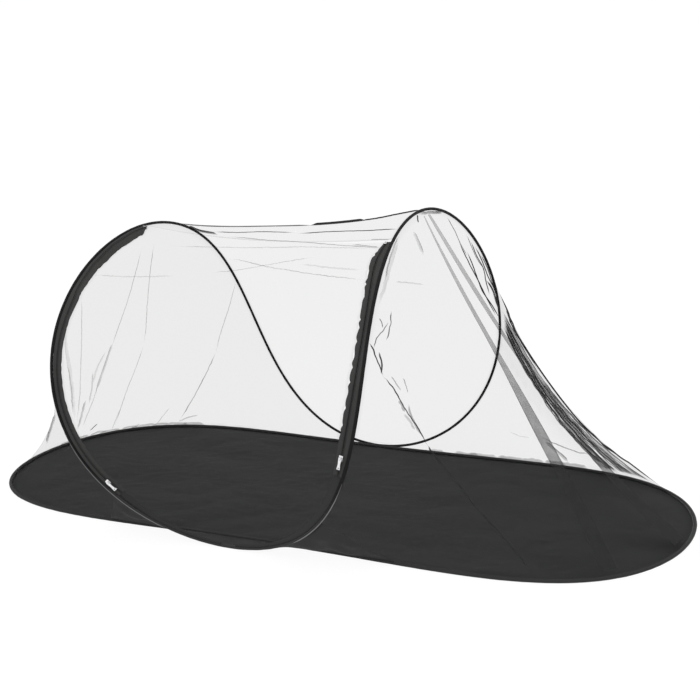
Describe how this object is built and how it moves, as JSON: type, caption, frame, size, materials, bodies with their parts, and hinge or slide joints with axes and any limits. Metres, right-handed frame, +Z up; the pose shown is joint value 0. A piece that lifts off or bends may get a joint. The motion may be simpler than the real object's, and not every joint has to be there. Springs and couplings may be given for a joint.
{
  "type": "mosquito net tent",
  "caption": "Pop-up mosquito net tent: net canopy on a saddle-shaped spring wire hoop with two arches, zipped door on one side and an oval black ground sheet.",
  "frame": {"origin": "middle of the ground sheet's underside, midway between its two ends", "axes": "+X along the bed towards the taller arch, -Y towards the door side, +Z up"},
  "size_m": [2, 1.1541, 0.8219],
  "materials": {
    "sheet_polyester": "woven, slightly matt",
    "hem_binding": "narrow binding",
    "sleeve_polyester": "narrow sleeve",
    "zip_tape": "knitted zip tape",
    "zip_coil": "nylon coil",
    "spring_steel": "drawn wire",
    "crimped_steel": "crimped tube",
    "nickel_plate": "nickel plated",
    "black_net": "fine open net",
    "doubled_net": "net folded double"
  },
  "bodies": {
    "right_half": {"ground_sheet_right": "sheet_polyester", "rim_wire_right": "spring_steel", "rim_hem_right": "hem_binding", "hoop_wire_right": "spring_steel", "hoop_sleeve_right": "sleeve_polyester", "hoop_ferrule": "crimped_steel", "right_end_net": "black_net", "end_seam_1": "doubled_net", "end_seam_2": "doubled_net", "front_web_right": "sheet_polyester", "door_sill_right": "sheet_polyester", "right_zip_hoop_tape": "zip_tape", "right_zip_door_tape": "zip_tape", "right_zip_hoop_teeth": "zip_coil", "right_zip_door_teeth": "zip_coil", "right_zip_bottom_stop": "nickel_plate", "right_zip_top_stop": "nickel_plate", "door_net": "black_net", "roof_net": "black_net"},
    "left_half": {"ground_sheet_left": "sheet_polyester", "rim_wire_left": "spring_steel", "rim_hem_left": "hem_binding", "rim_ferrule": "crimped_steel", "hoop_wire_left": "spring_steel", "hoop_sleeve_left": "sleeve_polyester", "left_end_net": "black_net", "front_web_left": "sheet_polyester", "door_sill_left": "sheet_polyester", "left_zip_hoop_tape": "zip_tape", "left_zip_door_tape": "zip_tape", "left_zip_hoop_teeth": "zip_coil", "left_zip_door_teeth": "zip_coil", "left_zip_bottom_stop": "nickel_plate", "left_zip_top_stop": "nickel_plate"},
    "right_slider": {"right_zip_slider": "nickel_plate"},
    "right_pull": {"right_zip_pull": "nickel_plate"},
    "left_slider": {"left_zip_slider": "nickel_plate"},
    "left_pull": {"left_zip_pull": "nickel_plate"}
  },
  "joints": [
    {"name": "waist_fold", "type": "hinge", "parent": "right_half", "child": "left_half", "pos_m": [-0.063, 0, 0.0125], "axis": [0, 1, 0], "range_deg": [0, 50], "stiffness_Nm_per_rad": 2, "deforming": ["door_net", "roof_net"]},
    {"name": "right_zip_run", "type": "hinge", "parent": "right_half", "child": "right_slider", "pos_m": [0.09639, -0.15033, 0.31622], "axis": [-0.9115, -0.3737, 0.1718], "range_deg": [0, 49.2]},
    {"name": "right_pull_swing", "type": "hinge", "parent": "right_slider", "child": "right_pull", "pos_m": [0.27521, -0.60515, 0.29319], "axis": [-0.9835, 0.0403, 0.1764], "range_deg": [0, 150]},
    {"name": "left_zip_run", "type": "hinge", "parent": "left_half", "child": "left_slider", "pos_m": [-0.24982, -0.28776, 0.38574], "axis": [-0.6566, 0.6225, -0.4258], "range_deg": [0, 59.46]},
    {"name": "left_pull_swing", "type": "hinge", "parent": "left_slider", "child": "left_pull", "pos_m": [-0.37779, -0.5925, 0.1491], "axis": [-0.7045, -0.0312, -0.709], "range_deg": [0, 150]}
  ]
}
